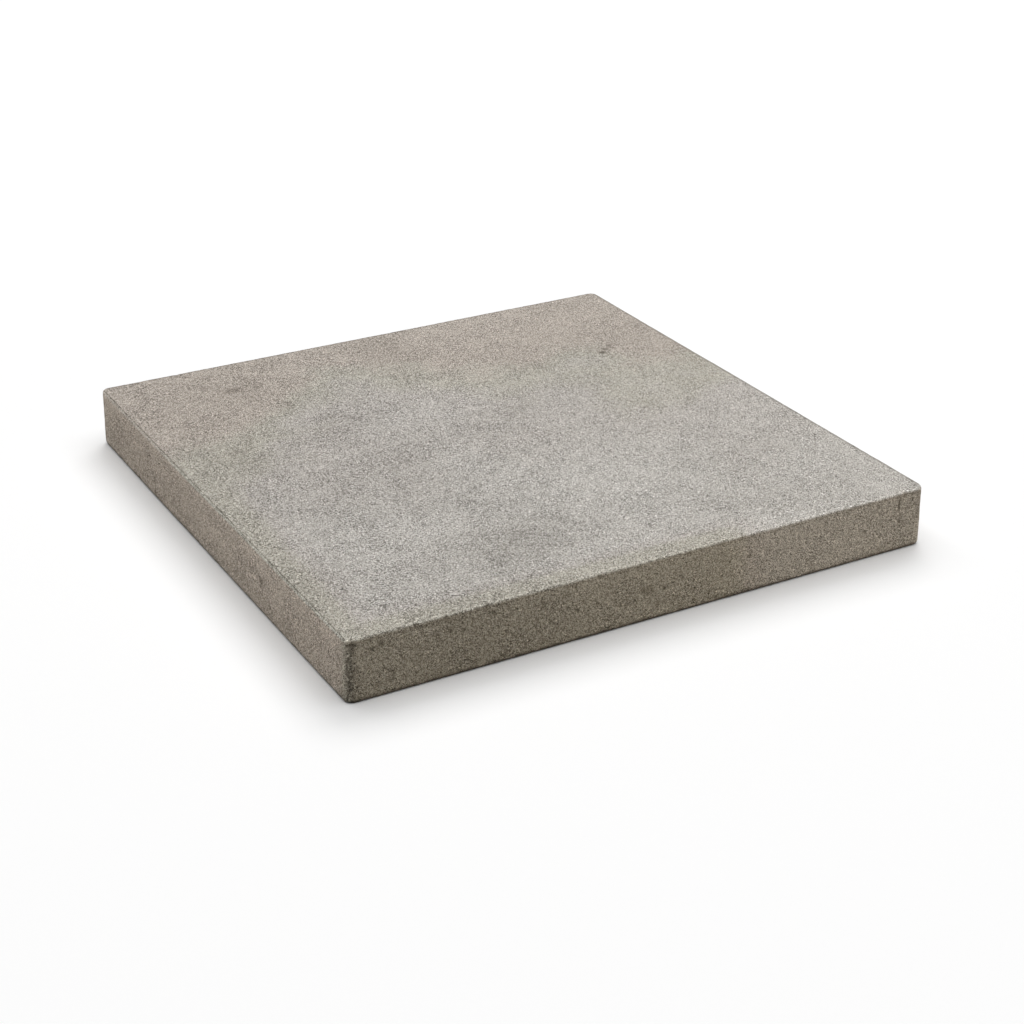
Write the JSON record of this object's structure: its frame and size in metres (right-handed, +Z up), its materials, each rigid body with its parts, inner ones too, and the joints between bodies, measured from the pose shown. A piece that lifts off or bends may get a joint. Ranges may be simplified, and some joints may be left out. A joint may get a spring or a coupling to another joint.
{
  "type": "concrete paving slab",
  "caption": "Flat square slab of cast concrete with a fine-grained wearing face, slightly tapered sides and rounded edges, laid on a bed to pave a path or terrace.",
  "frame": {"origin": "centre of the underside, on the plane that the slab lies on", "axes": "+Z up, out of the wearing face; +X and +Y along the sides, and the picture shows the -Y and -X sides"},
  "size_m": [0.4, 0.4, 0.04],
  "materials": {
    "concrete": "matt, fine-grained cast concrete, warm grey"
  },
  "bodies": {
    "root": {"paving_slab": "concrete"}
  },
  "joints": []
}
